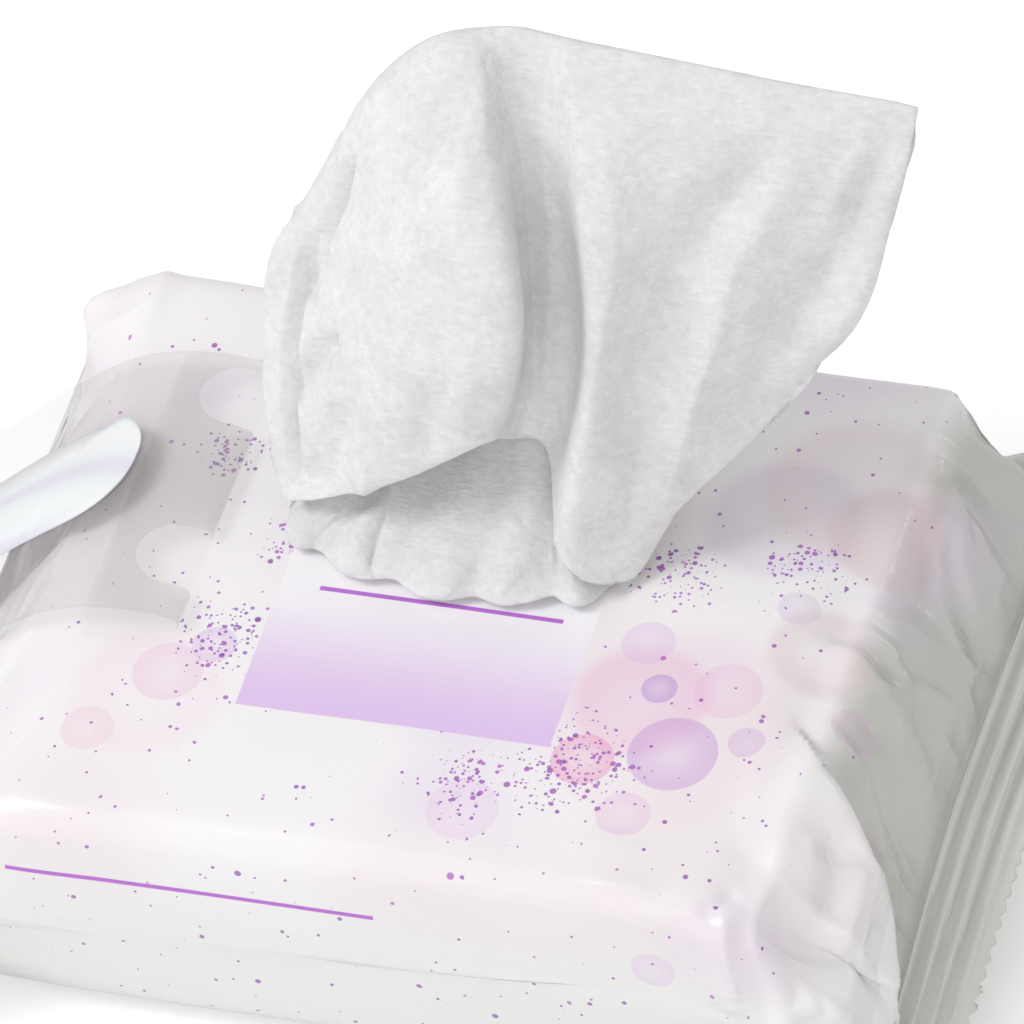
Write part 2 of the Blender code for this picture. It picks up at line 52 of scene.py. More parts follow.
def addNode(tree, kind, values=None, links=None, **settings):
    # One shader node with its settings, fixed inputs and incoming links
    node = tree.nodes.new("ShaderNode" + kind)
    for key, value in settings.items():
        setattr(node, key, value)
    for key, value in (values or {}).items():
        node.inputs[key].default_value = value
    for key, source in (links or {}).items():
        tree.links.new(source, node.inputs[key])
    return node


def newMaterial(name):
    material = bpy.data.materials.new(name)
    material.use_nodes = True
    tree = material.node_tree
    return material, tree, tree.nodes["Principled BSDF"]


smooth = {"interpolation_type": "SMOOTHSTEP"}

# Camera, matched to the photograph: a long lens from the front, high and turned
cameraSet = {"turn": 25.0, "height": 47.5, "roll": 11.0, "distance": 8.0, "view": 1.024 / 4.6,
             "centre": (0.004, 0.0611, 0.03)}


def makeCamera():
    turn, height, roll = (math.radians(cameraSet[key]) for key in ("turn", "height", "roll"))
    level = Vector((math.cos(turn), math.sin(turn), 0))
    rise = Vector((-math.sin(turn) * math.sin(height), math.cos(turn) * math.sin(height),
                   math.cos(height)))
    back = Vector((math.sin(turn) * math.cos(height), -math.cos(turn) * math.cos(height),
                   math.sin(height)))
    right = level * math.cos(roll) - rise * math.sin(roll)
    up = level * math.sin(roll) + rise * math.cos(roll)
    centre = sum((way * share for way, share in zip((right, up, back), cameraSet["centre"])), Vector())
    data = bpy.data.cameras.new("photoCamera")
    data.lens = 36 * cameraSet["distance"] / cameraSet["view"]
    data.clip_start, data.clip_end = 1.0, 30.0
    camera = bpy.data.objects.new("photoCamera", data)
    matrix = Matrix((right, up, back)).transposed().to_4x4()
    matrix.translation = centre + back * cameraSet["distance"]
    camera.matrix_world = matrix
    bpy.context.scene.collection.objects.link(camera)
    bpy.context.scene.camera = camera


makeCamera()
print("camera set")


# Light: one large soft lamp in front on the left, a low wide fill in front, a light world
lampSet = [
    {"name": "keyLamp", "at": (-0.85, -0.3, 1.15), "size": 0.6, "power": 7.0},
    {"name": "frontLamp", "at": (0.2, -1.3, 0.8), "size": 1.2, "power": 4.4},
    {"name": "edgeLamp", "at": (0.9, 0.9, 0.6), "size": 0.3, "power": 0.9},
]
lampAim = (0, 0, 0.05)
worldSet = {"light": 0.60, "seen": 1.0}
floorSet = {"half": 3.0, "colours": ("f1f1f1", "f5f5f5"), "seenGlow": 0.30, "grain": 900.0}


def makeLights():
    for lamp in lampSet:
        data = bpy.data.lights.new(lamp["name"], "AREA")
        data.shape = "DISK"
        data.size = lamp["size"]
        data.energy = lamp["power"]
        item = bpy.data.objects.new(lamp["name"], data)
        item.location = lamp["at"]
        aim = Vector(lampAim) - Vector(lamp["at"])
        item.rotation_euler = aim.to_track_quat("-Z", "Y").to_euler()
        bpy.context.scene.collection.objects.link(item)
    world = bpy.data.worlds.new("studioWorld")
    bpy.context.scene.world = world
    world.use_nodes = True
    tree = world.node_tree
    tree.nodes.clear()
    ray = addNode(tree, "LightPath")
    strength = addNode(tree, "Mix", {2: worldSet["light"], 3: worldSet["seen"]},
                       {0: ray.outputs["Is Camera Ray"]}, data_type="FLOAT")
    glow = addNode(tree, "Background", {"Color": (1, 1, 1, 1)}, {"Strength": strength.outputs[0]})
    addNode(tree, "OutputWorld", links={"Surface": glow.outputs[0]})
    bpy.context.scene.view_settings.view_transform = "Standard"


def makeFloor():
    # Plain pale sweep the pack lies on
    mesh = bpy.data.meshes.new("floorSweep")
    half = floorSet["half"]
    corners = [(-half, -half, 0), (half, -half, 0), (half, half, 0), (-half, half, 0)]
    mesh.from_pydata(corners, [], [(0, 1, 2, 3)])
    floor = bpy.data.objects.new("floorSweep", mesh)
    bpy.context.scene.collection.objects.link(floor)
    material, tree, shader = newMaterial("matt_paper_floor")
    place = addNode(tree, "TexCoord")
    grain = addNode(tree, "TexNoise", {"Scale": floorSet["grain"], "Detail": 0.0},
                    {"Vector": place.outputs["Object"]})
    low, high = (linearColour(code) for code in floorSet["colours"])
    tone = addNode(tree, "Mix", {6: low, 7: high}, {0: grain.outputs[0]}, data_type="RGBA")
    tree.links.new(tone.outputs[2], shader.inputs["Base Color"])
    # The camera sees the floor white, and the light that it sends up stays plain
    ray = addNode(tree, "LightPath")
    seen = addNode(tree, "Math", {1: floorSet["seenGlow"]}, {0: ray.outputs["Is Camera Ray"]},
                   operation="MULTIPLY")
    shader.inputs["Emission Color"].default_value = (1, 1, 1, 1)
    tree.links.new(seen.outputs[0], shader.inputs["Emission Strength"])
    shader.inputs["Roughness"].default_value = 0.9
    shader.inputs["Specular IOR Level"].default_value = 0.1
    mesh.materials.append(material)


makeLights()
makeFloor()
print("lights and floor made")


printSet = {
    # the third colour on the next line is painted shade: grey for the film's right end past the stack
    "ground": "f7f4f6", "side": "eff1ee", "paintedEndShade": "cccec6", "blush": "f0e2e6", "lilac": "e6d6ee",
    "dot": "b95ccb", "deepDot": "8d46b0", "strayDots": 0.02,
    # panel and rules: their two ends along each of two axes, in metres
    "panel": (-0.0377, 0.034, -0.0402, 0.005), "panelTint": "e3c6f0", "panelPale": "faf8fb",
    "rule": "bd6fd6",
    "topRule": (-0.0288, 0.0268, -0.0061, -0.0049), "frontRule": (-0.081, 0.003, 0.0474, 0.0486),
    # soft discs: x, y, z and radius in mm, tint and strength
    "discs": [
        (50, -24, 67, 15, "f2a9cf", 0.36), (61, -37, 66, 10, "c68ddf", 0.5),
        (42, -42, 66, 7, "ec86bb", 0.5), (53, -20, 67, 4, "a873d4", 0.5),
        (68, -18, 65, 8, "e9b4dd", 0.34), (76, -31, 64, 5, "c796dd", 0.38),
        (47, -8, 67, 6, "d9b2ea", 0.34),
        (55, -55, 66, 6, "e7b3e0", 0.36), (76, 8, 65, 5, "d5bfe4", 0.30),
        (-55, -34, 66, 8, "e9b6dc", 0.34),
        (-47, -25, 67, 5, "cfa4e4", 0.38), (-68, -52, 65, 6, "efc0d6", 0.32),
        (20, -60, 66, 8, "eac6ea", 0.30),
        (93, -18, 56, 7, "e2b9d8", 0.28), (66, -79, 44, 5, "d8aee6", 0.26),
        # Partly print and partly painted shade: the discs tinted cbbcdc, e6ccd0, dcc0c2 and d8bfc0 darken
        # the top's right part, along its right edge and behind the cloth
        (58, -30, 67, 27, "f3d6e4", 0.20), (66, 32, 66, 17, "cbbcdc", 0.28),
        (78, 44, 64, 20, "e6ccd0", 0.32),
        (84, -2, 63, 12, "dcc0c2", 0.36), (88, 34, 62, 13, "d8bfc0", 0.36),
        (-58, -40, 66, 17, "f4d9e6", 0.26)],
    # middles of the dot clusters: x, y, z and reach in mm
    "clusters": [
        (40, -44, 66, 20), (-44, -22, 67, 16), (-40, 6, 68, 9), (20, -52, 66, 14), (48, 12, 66, 14),
        (74, 20, 65, 13), (-60, 30, 66, 10)],
}


def filmMaterial():
    # Polyester film over polythene, gravure printed and pulled tight round the stack: a
    # smooth gloss on a white ground with soft washes, flat discs, small dots and one panel
    # Painted shade as well: the film's right end past the stack is painted grey, and a few discs darken
    # the top's right part
    material, tree, shader = newMaterial("printed_polyester_film")
    place = addNode(tree, "TexCoord")
    point = place.outputs["Object"]
    axes = addNode(tree, "SeparateXYZ", links={0: point})
    wash = addNode(tree, "TexNoise", {"Scale": 13.0, "Detail": 1.0, "Roughness": 0.45},
                   {"Vector": point})
    blushMask = addNode(tree, "MapRange", {1: 0.42, 2: 0.66, 4: 0.5}, {0: wash.outputs[0]},
                        **smooth)
    onTop = addNode(tree, "MapRange", {1: 0.030, 2: 0.062, 3: 0.1, 4: 1.0}, {0: axes.outputs[2]},
                    **smooth)
    blushShare = addNode(tree, "Math", links={0: blushMask.outputs[0], 1: onTop.outputs[0]},
                         operation="MULTIPLY")
    ground = addNode(tree, "Mix", {6: linearColour(printSet["side"]),
                                   7: linearColour(printSet["ground"])},
                     {0: onTop.outputs[0]}, data_type="RGBA")
    # Painted shade, partly the bare film's own greyer look: past the stack, where nothing white lies
    # behind the film, the right end is painted grey, less so on the fins and towards the front
    outward = addNode(tree, "Math", links={0: axes.outputs[0]}, operation="ABSOLUTE")
    beyond = addNode(tree, "MapRange", {1: 0.089, 2: 0.097}, {0: axes.outputs[0]}, **smooth)
    slanted = addNode(tree, "Math", {1: -0.9}, {0: axes.outputs[2], 2: axes.outputs[1]},
                      operation="MULTIPLY_ADD")
    inward = addNode(tree, "MapRange", {1: -0.092, 2: -0.085}, {0: slanted.outputs[0]},
                     **smooth)
    offFin = addNode(tree, "MapRange", {1: 0.111, 2: 0.114, 3: 1.0, 4: 0.65}, {0: axes.outputs[0]})
    paintedEndShade = addNode(tree, "Math", links={0: beyond.outputs[0], 1: inward.outputs[0]},
                     operation="MULTIPLY")
    paintedEndShade = addNode(tree, "Math", links={0: paintedEndShade.outputs[0], 1: offFin.outputs[0]},
                     operation="MULTIPLY")
    ground = addNode(tree, "Mix", {7: linearColour(printSet["paintedEndShade"])},
                     {0: paintedEndShade.outputs[0], 6: ground.outputs[2]},
                     data_type="RGBA")
    colour = addNode(tree, "Mix", {7: linearColour(printSet["blush"])},
                     {0: blushShare.outputs[0], 6: ground.outputs[2]}, data_type="RGBA")
    shifted = addNode(tree, "Mapping", {"Location": (0.31, 0.17, 0.05)}, {"Vector": point})
    secondWash = addNode(tree, "TexNoise", {"Scale": 17.0, "Detail": 1.0, "Roughness": 0.5},
                         {"Vector": shifted.outputs[0]})
    lilacMask = addNode(tree, "MapRange", {1: 0.52, 2: 0.74, 4: 0.5}, {0: secondWash.outputs[0]},
                        **smooth)
    lilacShare = addNode(tree, "Math", links={0: lilacMask.outputs[0], 1: onTop.outputs[0]},
                         operation="MULTIPLY")
    colour = addNode(tree, "Mix", {7: linearColour(printSet["lilac"])},
                     {0: lilacShare.outputs[0], 6: colour.outputs[2]}, data_type="RGBA")

    # Soft discs, denser towards their edge
    for x, y, z, radius, tint, strength in printSet["discs"]:
        away = addNode(tree, "VectorMath", {1: (x / 1000, y / 1000, z / 1000)}, {0: point},
                       operation="DISTANCE")
        body = addNode(tree, "MapRange", {1: 0, 2: radius / 1000, 3: strength * 0.45, 4: strength},
                       {0: away.outputs[1]}, **smooth)
        soft = 0.0004 if radius < 12 else 0.00035 * radius
        rim = addNode(tree, "MapRange", {1: radius / 1000 + soft / 2, 2: radius / 1000 - soft / 2},
                      {0: away.outputs[1]}, **smooth)
        share = addNode(tree, "Math", links={0: body.outputs[0], 1: rim.outputs[0]}, operation="MULTIPLY")
        colour = addNode(tree, "Mix", {7: linearColour(tint)},
                         {0: share.outputs[0], 6: colour.outputs[2]},
                         data_type="RGBA")

    # Small dots, crowded in clusters: a dot shows where its cell's random value is under the density
    density = None
    for x, y, z, reach in printSet["clusters"]:
        away = addNode(tree, "VectorMath", {1: (x / 1000, y / 1000, z / 1000)}, {0: point},
                       operation="DISTANCE")
        near = addNode(tree, "MapRange", {1: reach / 1000, 2: 0, 4: 0.9}, {0: away.outputs[1]},
                       **smooth)
        if density is None:
            density = addNode(tree, "Math", {0: printSet["strayDots"]}, {1: near.outputs[0]},
                              operation="MAXIMUM")
        else:
            density = addNode(tree, "Math", links={0: density.outputs[0], 1: near.outputs[0]},
                              operation="MAXIMUM")
    bare = addNode(tree, "MapRange", {1: 0.088, 2: 0.098, 3: 1.0, 4: 0.0}, {0: outward.outputs[0]})
    allowed = addNode(tree, "Math", links={0: density.outputs[0], 1: bare.outputs[0]},
                      operation="MULTIPLY")
    for scale, largest in ((950.0, 0.46), (620.0, 0.46), (370.0, 0.34)):
        cells = addNode(tree, "TexVoronoi", {"Scale": scale}, {"Vector": point})
        chance = addNode(tree, "SeparateXYZ", links={0: cells.outputs["Color"]})
        kept = addNode(tree, "Math", links={0: chance.outputs[0], 1: allowed.outputs[0]},
                       operation="LESS_THAN")
        size = addNode(tree, "MapRange", {3: 0.10, 4: largest}, {0: chance.outputs[1]})
        inside = addNode(tree, "Math", links={0: size.outputs[0], 1: cells.outputs["Distance"]},
                         operation="SUBTRACT")
        edge = addNode(tree, "MapRange", {1: 0.0, 2: 0.05, 4: 0.85}, {0: inside.outputs[0]})
        share = addNode(tree, "Math", links={0: edge.outputs[0], 1: kept.outputs[0]},
                        operation="MULTIPLY")
        ink = addNode(tree, "Mix", {6: linearColour(printSet["dot"]),
                                    7: linearColour(printSet["deepDot"])},
                      {0: chance.outputs[2]}, data_type="RGBA")
        colour = addNode(tree, "Mix", links={0: share.outputs[0], 6: colour.outputs[2],
                                             7: ink.outputs[2]},
                         data_type="RGBA")

    # Plain panel on the top, white at its back edge and lavender at its front one
    left, right, front, back = printSet["panel"]
    fade = addNode(tree, "MapRange", {1: front, 2: back - 0.006}, {0: axes.outputs[1]},
                   **smooth)
    panel = addNode(tree, "Mix", {6: linearColour(printSet["panelTint"]),
                                  7: linearColour(printSet["panelPale"])},
                    {0: fade.outputs[0]}, data_type="RGBA")
    onTopFace = (2, 0.06, 1)
    areas = [(None, ((0, left, 1), (0, right, -1), (1, front, 1), (1, back, -1), onTopFace))]
    left, right, front, back = printSet["topRule"]
    rule = {7: linearColour(printSet["rule"])}
    areas.append((rule, ((0, left, 1), (0, right, -1), (1, front, 1), (1, back, -1), onTopFace)))
    left, right, low, high = printSet["frontRule"]
    areas.append((rule, ((0, left, 1), (0, right, -1), (2, low, 1), (2, high, -1), (1, -0.07, -1))))
    for ink, limits in areas:
        mask = None
        for axis, edge, way in limits:
            side = addNode(tree, "MapRange", {1: edge - 0.00008 * way, 2: edge + 0.00008 * way},
                           {0: axes.outputs[axis]})
            if mask is None:
                mask = side
            else:
                mask = addNode(tree, "Math", links={0: mask.outputs[0], 1: side.outputs[0]},
                               operation="MULTIPLY")
        links = {0: mask.outputs[0], 6: colour.outputs[2]}
        if ink is None:
            links[7] = panel.outputs[2]
        colour = addNode(tree, "Mix", ink, links, data_type="RGBA")
    tree.links.new(colour.outputs[2], shader.inputs["Base Color"])

    # Handling crinkles of about 15 mm at the gathered ends, drawn as bump over the modelled folds
    bend = addNode(tree, "TexNoise", {"Scale": 30.0, "Detail": 0.0}, {"Vector": point})
    warped = addNode(tree, "VectorMath", {1: (0.03, 0.03, 0.03)}, {0: bend.outputs[1], 2: point},
                     operation="MULTIPLY_ADD")
    drawn = addNode(tree, "Mapping", {"Scale": (0.5, 1.25, 0.5)}, {"Vector": warped.outputs[0]})
    facets = addNode(tree, "TexVoronoi", {"Scale": 62.0}, {"Vector": drawn.outputs[0]})
    gathered = addNode(tree, "MapRange", {1: 0.084, 2: 0.1, 3: 0.0, 4: 1.0}, {0: outward.outputs[0]},
                       **smooth)
    unpressed = addNode(tree, "MapRange", {1: 0.109, 2: 0.112, 3: 1.0, 4: 0.08}, {0: outward.outputs[0]})
    gathered = addNode(tree, "Math", links={0: gathered.outputs[0], 1: unpressed.outputs[0]},
                       operation="MULTIPLY")
    height = addNode(tree, "Math", links={0: facets.outputs["Distance"], 1: gathered.outputs[0]},
                     operation="MULTIPLY")
    bump = addNode(tree, "Bump", {"Strength": 0.8, "Distance": 0.0035}, {"Height": height.outputs[0]})
    tree.links.new(bump.outputs[0], shader.inputs["Normal"])
    rub = addNode(tree, "MapRange", {3: 0.24, 4: 0.32}, {0: wash.outputs[0]})
    tree.links.new(rub.outputs[0], shader.inputs["Roughness"])
    shader.inputs["IOR"].default_value = 1.52
    return material


# Heights over which the label lifts off and its place past the pack's end, in metres
labelLook = {"tints": ("d2c8c7", "dad3d1"), "lifts": (0.0685, 0.0700), "past": (-0.080, -0.084),
             "stuck": 0.012,
             "peeled": 0.14}


def labelMaterial():
    # Clear polypropylene label with acrylic adhesive underneath: glossy, hardly seen where it is
    # stuck down, and hazy grey where it is peeled off, because the bare adhesive scatters light
    material, tree, shader = newMaterial("clear_polypropylene_label")
    place = addNode(tree, "TexCoord")
    axes = addNode(tree, "SeparateXYZ", links={0: place.outputs["Object"]})
    haze = addNode(tree, "TexNoise", {"Scale": 40.0, "Detail": 3.0}, {"Vector": place.outputs["Object"]})
    low, high = (linearColour(code) for code in labelLook["tints"])
    tone = addNode(tree, "Mix", {6: low, 7: high}, {0: haze.outputs[0]}, data_type="RGBA")
    tree.links.new(tone.outputs[2], shader.inputs["Base Color"])
    shares = {3: labelLook["stuck"], 4: labelLook["peeled"]}
    start, end = labelLook["lifts"]
    above = addNode(tree, "MapRange", {1: start, 2: end, **shares}, {0: axes.outputs[2]})
    start, end = labelLook["past"]
    past = addNode(tree, "MapRange", {1: start, 2: end, **shares}, {0: axes.outputs[0]})
    veil = addNode(tree, "Math", links={0: above.outputs[0], 1: past.outputs[0]}, operation="MAXIMUM")
    tree.links.new(veil.outputs[0], shader.inputs["Alpha"])
    ripple = addNode(tree, "TexNoise", {"Scale": 28.0, "Detail": 2.0},
                     {"Vector": place.outputs["Object"]})
    bump = addNode(tree, "Bump", {"Strength": 0.2, "Distance": 0.0008}, {"Height": ripple.outputs[0]})
    tree.links.new(bump.outputs[0], shader.inputs["Normal"])
    shader.inputs["Roughness"].default_value = 0.16
    shader.inputs["IOR"].default_value = 1.49
    return material


flapLook = {"bands": ((0.0, "e6e4f0"), (0.3, "eef1f4"), (1.0, "f4f6f7")), "bandScale": 17.0}


def flapMaterial():
    # Reverse of the printed film that was cut out: white, the print's pale bands shining through
    material, tree, shader = newMaterial("white_film_reverse")
    place = addNode(tree, "TexCoord")
    point = place.outputs["Object"]
    turned = addNode(tree, "Mapping", {"Rotation": (0, 0, 0.2)}, {"Vector": point})
    bands = addNode(tree, "TexWave", {"Scale": flapLook["bandScale"], "Distortion": 0.6, "Detail": 1.0,
                                      "Detail Scale": 0.6},
                    {"Vector": turned.outputs[0]}, bands_direction="Y")
    tints = addNode(tree, "ValToRGB", links={0: bands.outputs[0]})
    stops = tints.color_ramp.elements
    stops[0].color = linearColour(flapLook["bands"][0][1])
    stops[1].color = linearColour(flapLook["bands"][2][1])
    stops.new(flapLook["bands"][1][0]).color = linearColour(flapLook["bands"][1][1])
    tree.links.new(tints.outputs[0], shader.inputs["Base Color"])
    shader.inputs["Roughness"].default_value = 0.5
    shader.inputs["Specular IOR Level"].default_value = 0.3
    return material


# One over each scale, in metres, is the size of its tufts, clouds and crosswise fibres
clothLook = {"tints": ("dfdfdf", "f0f0f0"), "tufts": 420.0, "clouds": 90.0,
             "fibres": (240.0, 1300.0, 1300.0)}


def clothMaterial():
    # Damp spunlace nonwoven: fibres laid by water jets, so a soft grain of 1 to 3 mm tufts
    # with faint crosswise striations about 1 mm apart and a soft bright rim
    material, tree, shader = newMaterial("damp_spunlace_nonwoven")
    place = addNode(tree, "TexCoord")
    point = place.outputs["Object"]
    tufts = addNode(tree, "TexNoise", {"Scale": clothLook["tufts"], "Detail": 3.0, "Roughness": 0.62},
                    {"Vector": point})
    clouds = addNode(tree, "TexNoise", {"Scale": clothLook["clouds"], "Detail": 1.0, "Roughness": 0.5},
                     {"Vector": point})
    stretched = addNode(tree, "Mapping", {"Scale": clothLook["fibres"], "Rotation": (0.0, -0.12, 0.3)},
                        {"Vector": point})
    striae = addNode(tree, "TexNoise", {"Scale": 1.0, "Detail": 2.0}, {"Vector": stretched.outputs[0]})
    grain = addNode(tree, "Math", {1: 0.6}, {0: striae.outputs[0], 2: tufts.outputs[0]},
                    operation="MULTIPLY_ADD")
    grainMask = addNode(tree, "MapRange", {1: 0.5, 2: 1.1}, {0: grain.outputs[0]})
    low, high = (linearColour(code) for code in clothLook["tints"])
    tone = addNode(tree, "Mix", {6: low, 7: high}, {0: grainMask.outputs[0]}, data_type="RGBA")
    cloudMask = addNode(tree, "MapRange", {1: 0.35, 2: 0.65, 3: 0.94, 4: 1.0}, {0: clouds.outputs[0]})
    shade = addNode(tree, "VectorMath", links={0: tone.outputs[2], 1: cloudMask.outputs[0]},
                    operation="MULTIPLY")
    tree.links.new(shade.outputs[0], shader.inputs["Base Color"])
    shader.inputs["Roughness"].default_value = 0.9
    shader.inputs["Specular IOR Level"].default_value = 0.2
    shader.inputs["Sheen Weight"].default_value = 0.2
    shader.inputs["Sheen Roughness"].default_value = 0.5
    bump = addNode(tree, "Bump", {"Strength": 0.55, "Distance": 0.0005}, {"Height": grain.outputs[0]})
    tree.links.new(bump.outputs[0], shader.inputs["Normal"])
    return material


materials = {"film": filmMaterial(), "label": labelMaterial(), "flap": flapMaterial(),
             "cloth": clothMaterial()}
print("materials made")


def mergedCopy(nodeName, pieceName):
    # Copy of a CAD node with its loose triangles joined, as a new piece
    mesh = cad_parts[nodeName].data.copy()
    mesh.name = pieceName
    data = bmesh.new()
    data.from_mesh(mesh)
    bmesh.ops.remove_doubles(data, verts=data.verts[:], dist=0.00001)
    data.to_mesh(mesh)
    data.free()
    item = bpy.data.objects.new(pieceName, mesh)
    bpy.context.scene.collection.objects.link(item)
    return item


def onlyActive(item):
    bpy.ops.object.select_all(action="DESELECT")
    item.select_set(True)
    bpy.context.view_layer.objects.active = item


def applyModifier(item, kind, **settings):
    onlyActive(item)
    modifier = item.modifiers.new(kind.lower(), kind)
    for key, value in settings.items():
        setattr(modifier, key, value)
    bpy.ops.object.modifier_apply(modifier=modifier.name)


def quadsAndCreases(item, sharpAngle, foldStart=9.0):
    # Pairs of triangles become quads. Edges sharper than the angle stay sharp when subdivided,
    # and beyond the fold start, in metres from the middle along X, shallow edges stay as soft creases
    onlyActive(item)
    bpy.ops.object.mode_set(mode="EDIT")
    bpy.ops.mesh.select_all(action="SELECT")
    bpy.ops.mesh.tris_convert_to_quads(face_threshold=math.radians(50), shape_threshold=math.radians(60))
    bpy.ops.object.mode_set(mode="OBJECT")
    data = bmesh.new()
    data.from_mesh(item.data)
    creases = data.edges.layers.float.get("crease_edge") or data.edges.layers.float.new("crease_edge")
    corners = data.verts.layers.float.get("crease_vert") or data.verts.layers.float.new("crease_vert")
    for edge in data.edges:
        if len(edge.link_faces) != 2:
            continue
        angle = edge.calc_face_angle()
        away = abs(sum(v.co.x for v in edge.verts)) / 2
        if angle > math.radians(sharpAngle):
            edge[creases] = 1.0
            if away > foldStart + 0.03:
                for vert in edge.verts:
                    vert[corners] = 1.0
        elif away > foldStart and angle > math.radians(7):
            edge[creases] = 0.45
    data.to_mesh(item.data)
    data.free()


def subdivide(item, levels):
    applyModifier(item, "SUBSURF", levels=levels, render_levels=levels)


def dress(item, material, angle=60):
    item.data.materials.clear()
    item.data.materials.append(material)
    item.data.shade_smooth()
    item.data.set_sharp_from_angle(angle=math.radians(angle))


def meshPoints(item):
    # Places in millimetres and normals of all points
    mesh = item.data
    places = np.empty(len(mesh.vertices) * 3)
    mesh.vertices.foreach_get("co", places)
    normals = np.empty(len(mesh.vertices) * 3)
    mesh.vertices.foreach_get("normal", normals)
    return places.reshape(-1, 3) * 1000, normals.reshape(-1, 3)


def movePoints(item, places):
    item.data.vertices.foreach_set("co", (places / 1000).ravel())
    item.data.update()


def noiseField(places, size, seed, squash=(1, 1, 1)):
    # Smooth noise from -1 to 1 over the points, its bumps about size millimetres apart
    shift = Vector((seed * 7.3, seed * 3.1, seed * 5.7))
    scale = Vector((squash[0] / size, squash[1] / size, squash[2] / size))
    return np.array([noise.noise(Vector(place) * scale + shift) for place in places])


def ramp(values, low, high):
    share = np.clip((values - low) / (high - low), 0, 1)
    return share * share * (3 - 2 * share)


def creaseHeights(places, normals, crease):
    # Height of one crease: full on its path, falling to its left and right over its own widths
    path = np.array(crease["path"], dtype=float)
    steps = np.linalg.norm(path[1:] - path[:-1], axis=1)
    total = steps.sum()
    best = np.zeros(len(places))
    travelled = 0.0
    for start, end, length in zip(path, path[1:], steps):
        along = (end - start) / length
        share = np.clip(((places - start) @ along) / length, 0, 1)
        off = places - start - share[:, None] * (end - start)
        above = np.einsum("ij,ij->i", off, normals)
        away = np.sqrt(np.maximum(np.einsum("ij,ij->i", off, off) - above**2,
                                  0)) + np.maximum(np.abs(above) - 6, 0)
        side = np.einsum("ij,ij->i", np.cross(along[None, :], off), normals)
        width = np.where(side > 0, crease["left"], crease["right"])
        shape = np.clip(1 - away / width, 0, 1) ** crease.get("power", 1.4)
        place = (travelled + share * length) / total
        taper = np.clip(np.minimum(place / crease.get("fadeIn", 0.2),
                                   (1 - place) / crease.get("fadeOut", 0.2)), 0, 1)
        best = np.maximum(best, shape * np.sqrt(taper))
        travelled += length
    return best * crease["rise"]


def pulled(places, pulls):
    moved = places.copy()
    for middle, reach, move in pulls:
        away = np.linalg.norm((places - np.array(middle)) / np.array(reach), axis=1)
        moved += ((1 - np.clip(away, 0, 1) ** 2) ** 2)[:, None] * np.array(move)
    return moved


# The fold at the front right corner, from the top edge down to the fin
cornerFold = [(90, -33, 62), (96, -39, 54), (99, -45, 46), (104, -53, 37), (107, -58, 30), (110, -67, 24)]

# Film wrap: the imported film's outer face, smoothed, with folds and crinkles, then given its wall
filmSet = {
    "levels": 2, "wall": 0.00025, "swell": 0.6, "swellSize": 44.0, "endFolds": 3.2, "endFoldSize": 17.0,
    "finLine": 111.8, "finLength": 17.5, "crimps": 4, "crimpDepth": 1.1,
    "creases": [
        {"path": [(91, 57, 63), (95, 43, 58), (99, 20, 53)], "rise": -1.2, "left": 3, "right": 8},
        {"path": [(91, 58, 63), (99, 47, 55), (101, 40, 49), (108, 29, 37)], "rise": 2.8, "left": 4,
         "right": 9,
         "power": 1.1},
        {"path": [(93, 55, 61), (97, 38, 55), (102, 28, 47), (109, 20, 36)], "rise": 1.5, "left": 2.5,
         "right": 6},
        {"path": [(91, 58, 63), (99, 60, 55), (104, 74, 42)], "rise": 2.2, "left": 9, "right": 5,
         "power": 1.1},
        {"path": [(80, -1, 66), (91, 0, 62), (101, -6, 50), (108, -12, 40)], "rise": 2.8, "left": 4,
         "right": 9,
         "power": 1.1},
        {"path": [(88, 8, 64), (95, 8, 56), (102, -4, 48)], "rise": 1.9, "left": 3, "right": 5},
        {"path": [(95, 2, 57), (102, 6, 47), (108, 8, 38)], "rise": 1.5, "left": 3, "right": 6},
        {"path": [(90, -20, 62), (98, -24, 53), (106, -34, 40), (109, -40, 33)], "rise": 1.8, "left": 3,
         "right": 7},
        {"path": [(97, -32, 53), (102, -34, 45), (107, -44, 36)], "rise": 1.4, "left": 3, "right": 5},
        {"path": cornerFold, "rise": 10.0, "left": 6, "right": 25, "power": 1.0, "fadeIn": 0.35,
         "fadeOut": 0.12},
        {"path": [(93, -46, 56), (96, -54, 52), (97, -62, 47)], "rise": -2.0, "left": 7, "right": 5},
        {"path": [(98, -50, 47), (99, -60, 43), (99, -67, 39), (103, -76, 30)],
         "rise": 2.6, "left": 4, "right": 8, "power": 1.1},
        {"path": [(50, -56, 66), (55, -65, 66), (62, -74, 64), (66, -79, 56)], "rise": 1.6, "left": 3,
         "right": 5},
        {"path": [(82, -72, 62), (84, -77, 56), (86, -79, 45), (86, -80, 30)], "rise": 2.4, "left": 5,
         "right": 8},
        {"path": [(78, -76, 62), (81, -74, 61), (84, -68, 61)], "rise": -1.2, "left": 4, "right": 4},
        {"path": [(-72, -71, 65), (-67, -77, 61), (-62, -79, 52)], "rise": 1.0, "left": 4, "right": 3},
    ],
    "easing": {"path": cornerFold, "rise": 0.9, "left": 9, "right": 5, "power": 0.5, "fadeIn": 0.05,
               "fadeOut": 0.05},
    # the free corner of film at the back of the label's end: middle, reach along each axis and move, in mm
    "pulls": [((-101, 76, 54), (17, 26, 17), (-5, 1, 2)), ((-104, 74, 57), (8, 13, 9), (-3, 0, 2))],
}


